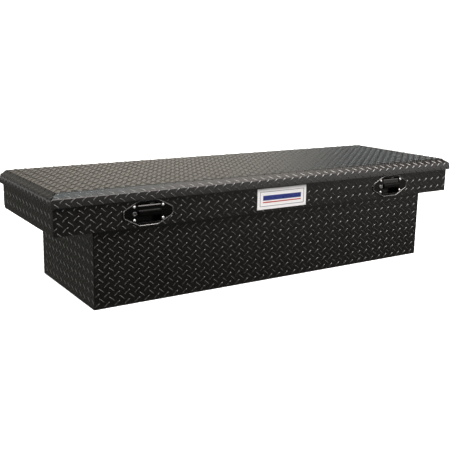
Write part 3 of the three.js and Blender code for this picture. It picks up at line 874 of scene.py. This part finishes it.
# the floor and its walls show behind the object but not in its reflections, so the black coat reads black
floor_mesh = bpy.data.meshes.new("floor")
floor_corners = [
    (-STUDIO_REACH, -STUDIO_REACH, 0),
    (STUDIO_REACH, -STUDIO_REACH, 0),
    (STUDIO_REACH, STUDIO_REACH, 0),
    (-STUDIO_REACH, STUDIO_REACH, 0),
]
wall_tops = [(x, y, STUDIO_REACH) for x, y, _ in floor_corners]
walls = [(i, (i + 1) % 4, 4 + (i + 1) % 4, 4 + i) for i in range(4)]
floor_mesh.from_pydata(floor_corners + wall_tops, [], [(0, 1, 2, 3)] + walls)
floor = bpy.data.objects.new("floor", floor_mesh)
floor.location.z = -0.5 * MM
bpy.context.scene.collection.objects.link(floor)
white = bpy.data.materials.new("white sweep")
white.use_nodes = True
floor_shader = white.node_tree.nodes["Principled BSDF"]
floor_shader.inputs["Base Color"].default_value = (STUDIO_ALBEDO, STUDIO_ALBEDO, STUDIO_ALBEDO, 1)
floor_shader.inputs["Roughness"].default_value = 1.0
floor_shader.inputs["Specular IOR Level"].default_value = 0.0
floor_shader.inputs["Emission Color"].default_value = (1, 1, 1, 1)
floor_shader.inputs["Emission Strength"].default_value = STUDIO_GLOW
floor_mesh.materials.append(white)
floor.visible_glossy = False
floor.visible_diffuse = False

# soft panels: name, azimuth, elevation, radius of full light, radius where it ends, colour, strength
SOFT_PANELS = [
    ("lid panel", 27, 12, 7, 16, (1.0, 0.9, 0.76), 0.94),
    ("lid end panel", -6, 20, 6, 16, (1.0, 0.96, 0.84), 0.45),
    ("cool overhead panel", 47, 65, 4, 12, (0.74, 0.94, 1.0), 4.3),
    ("warm overhead panel", 70, 56, 5, 13, (1.0, 0.92, 0.84), 4.9),
    ("front right panel", 137, 34, 9, 18, (1.0, 0.94, 0.91), 3.2),
    ("front panel", 155, 36, 9, 18, (1.0, 0.94, 0.91), 2.8),
    ("high front panel", 150, 54, 13, 26, (1.0, 0.94, 0.91), 7.4),
    ("left wall", -24, -12, 14, 32, (1.0, 0.96, 0.84), 0.1),
    ("back left panel", -68, 32, 12, 26, (1.0, 0.96, 0.92), 1.4),
    ("right panel", 106, 24, 8, 17, (1.0, 0.96, 0.92), 0.7),
    ("low front right panel", 138, 3, 5, 13, (1.0, 0.95, 0.9), 2.2),
    ("fill beside the camera", 236, 36, 18, 34, (1.0, 0.99, 0.97), 3.0),
]

world = bpy.data.worlds.new("studio")
bpy.context.scene.world = world
world.use_nodes = True
nodes = world.node_tree.nodes
links = world.node_tree.links
background = nodes["Background"]
heading = nodes.new("ShaderNodeTexCoord")
total = None


def add_light(total, colour_socket):
    """The sum of the light so far and one more colour."""
    if total is None:
        return colour_socket
    mix = nodes.new("ShaderNodeMix")
    mix.data_type = "RGBA"
    mix.blend_type = "ADD"
    mix.inputs["Factor"].default_value = 1
    links.new(total, mix.inputs["A"])
    links.new(colour_socket, mix.inputs["B"])
    return mix.outputs["Result"]


def window(value_socket, start, end, colour):
    """Colour that fades in as the value goes from start to end."""
    fade = nodes.new("ShaderNodeMapRange")
    fade.interpolation_type = "SMOOTHSTEP"
    fade.inputs["From Min"].default_value = start
    fade.inputs["From Max"].default_value = end
    links.new(value_socket, fade.inputs["Value"])
    mix = nodes.new("ShaderNodeMix")
    mix.data_type = "RGBA"
    mix.inputs["A"].default_value = (0, 0, 0, 1)
    mix.inputs["B"].default_value = (*colour, 1)
    links.new(fade.outputs["Result"], mix.inputs["Factor"])
    return mix.outputs["Result"]


for label, azimuth, elevation, full, fade, colour, strength in SOFT_PANELS:
    dot = nodes.new("ShaderNodeVectorMath")
    dot.label = label
    dot.operation = "DOT_PRODUCT"
    dot.inputs[1].default_value = direction(azimuth, elevation)
    links.new(heading.outputs["Generated"], dot.inputs[0])
    lit = window(dot.outputs["Value"], math.cos(math.radians(fade)), math.cos(math.radians(full)),
                 [c * strength for c in colour])
    total = add_light(total, lit)

# a pale band at the horizon lights the lid's lip from low down
split = nodes.new("ShaderNodeSeparateXYZ")
links.new(heading.outputs["Generated"], split.inputs["Vector"])
above = window(split.outputs["Z"], *HORIZON_BOTTOM, (1, 1, 1))
band_ends = [math.sin(math.radians(angle)) for angle in HORIZON_TOP]
below = window(split.outputs["Z"], *band_ends, [HORIZON_BAND] * 3)
band = nodes.new("ShaderNodeMix")
band.data_type = "RGBA"
band.blend_type = "MULTIPLY"
band.inputs["Factor"].default_value = 1
links.new(above, band.inputs["A"])
links.new(below, band.inputs["B"])
total = add_light(total, band.outputs["Result"])
base = nodes.new("ShaderNodeRGB")
base.outputs["Color"].default_value = (*AMBIENT, 1)
total = add_light(total, base.outputs["Color"])
links.new(total, background.inputs["Color"])
